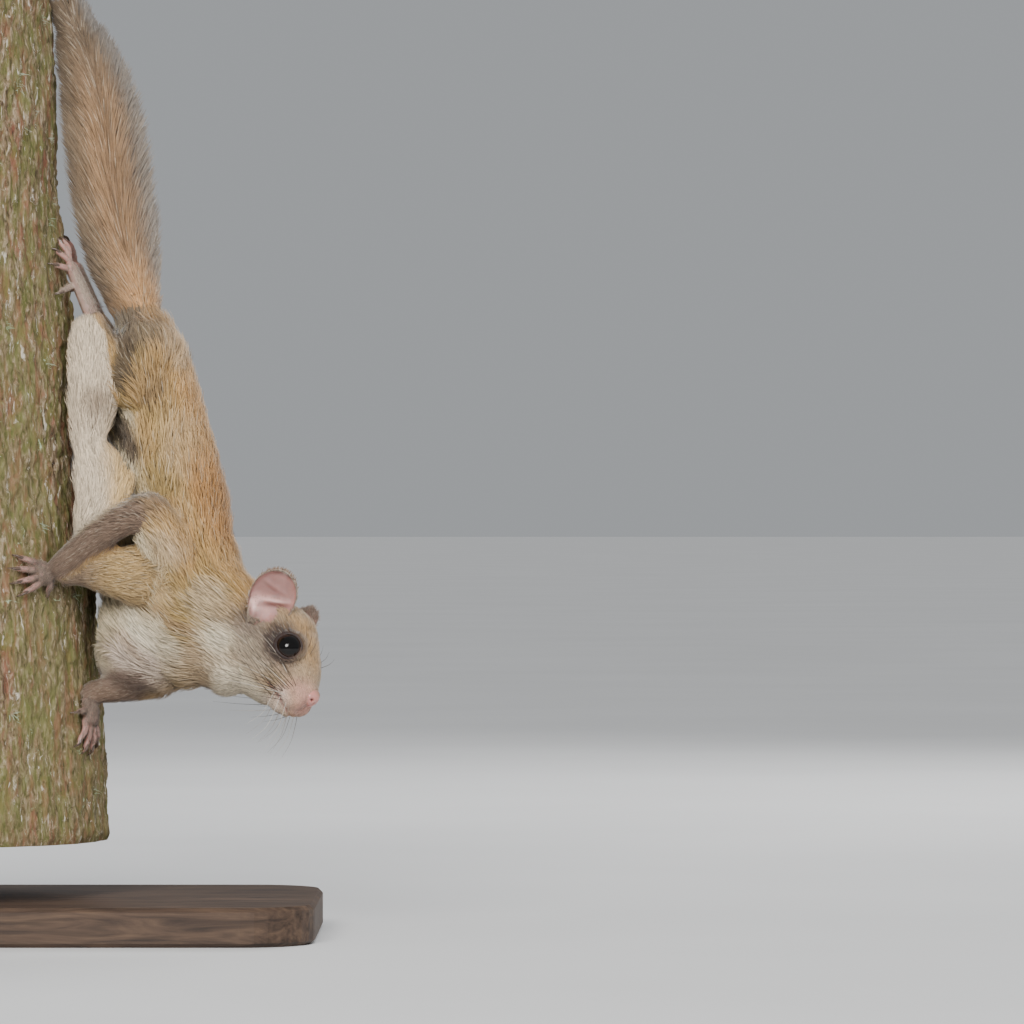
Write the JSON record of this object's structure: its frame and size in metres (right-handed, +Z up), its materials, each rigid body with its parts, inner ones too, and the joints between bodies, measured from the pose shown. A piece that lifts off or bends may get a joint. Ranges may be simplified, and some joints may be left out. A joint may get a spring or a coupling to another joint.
{
  "type": "animal_model",
  "caption": "Life-size northern flying squirrel clinging head down to a cut length of tree trunk, with a broad flat tail and folded gliding membranes, on a plain display stand.",
  "frame": {"origin": "Middle of the flat underside of the stand's base.", "axes": "+Z up along the trunk; +X away from the trunk, the way the animal's back faces; +Y to the animal's left side, so its right side faces -Y."},
  "size_m": [0.2319, 0.156, 0.373],
  "materials": {
    "fur_back": "soft dense cinnamon and grey-brown fur",
    "fur_flank": "soft buff and grey fur",
    "fur_belly": "soft cream fur",
    "fur_arm": "short grey-brown fur",
    "fur_tail": "long soft tan fur with a grey edge",
    "skin": "thin bare pinkish skin",
    "nose": "bare moist pink skin",
    "eye": "glossy near-black eye",
    "bark": "rough ridged grey-brown bark with lichen, sawn at both ends",
    "stand_wood": "dark stained wood with a satin lacquer",
    "rod_metal": "brushed steel"
  },
  "bodies": {
    "root": {"stand_base": "stand_wood", "stand_rod_1": "rod_metal", "stand_rod_2": "rod_metal", "trunk": "bark", "torso": "fur_back", "neck": "fur_back", "head": "fur_flank", "nose": "nose", "tail": "fur_tail", "eye_right": "eye", "ear_right": "skin", "upper_arm_right": "fur_flank", "forearm_right": "fur_arm", "hand_right": "skin", "thigh_right": "fur_flank", "shank_right": "fur_flank", "foot_right": "skin", "arm_fold_right": "fur_flank", "membrane_right": "fur_belly", "eye_left": "eye", "ear_left": "skin", "upper_arm_left": "fur_flank", "forearm_left": "fur_arm", "hand_left": "skin", "thigh_left": "fur_flank", "shank_left": "fur_flank", "foot_left": "skin", "membrane_left": "fur_belly"}
  },
  "joints": []
}
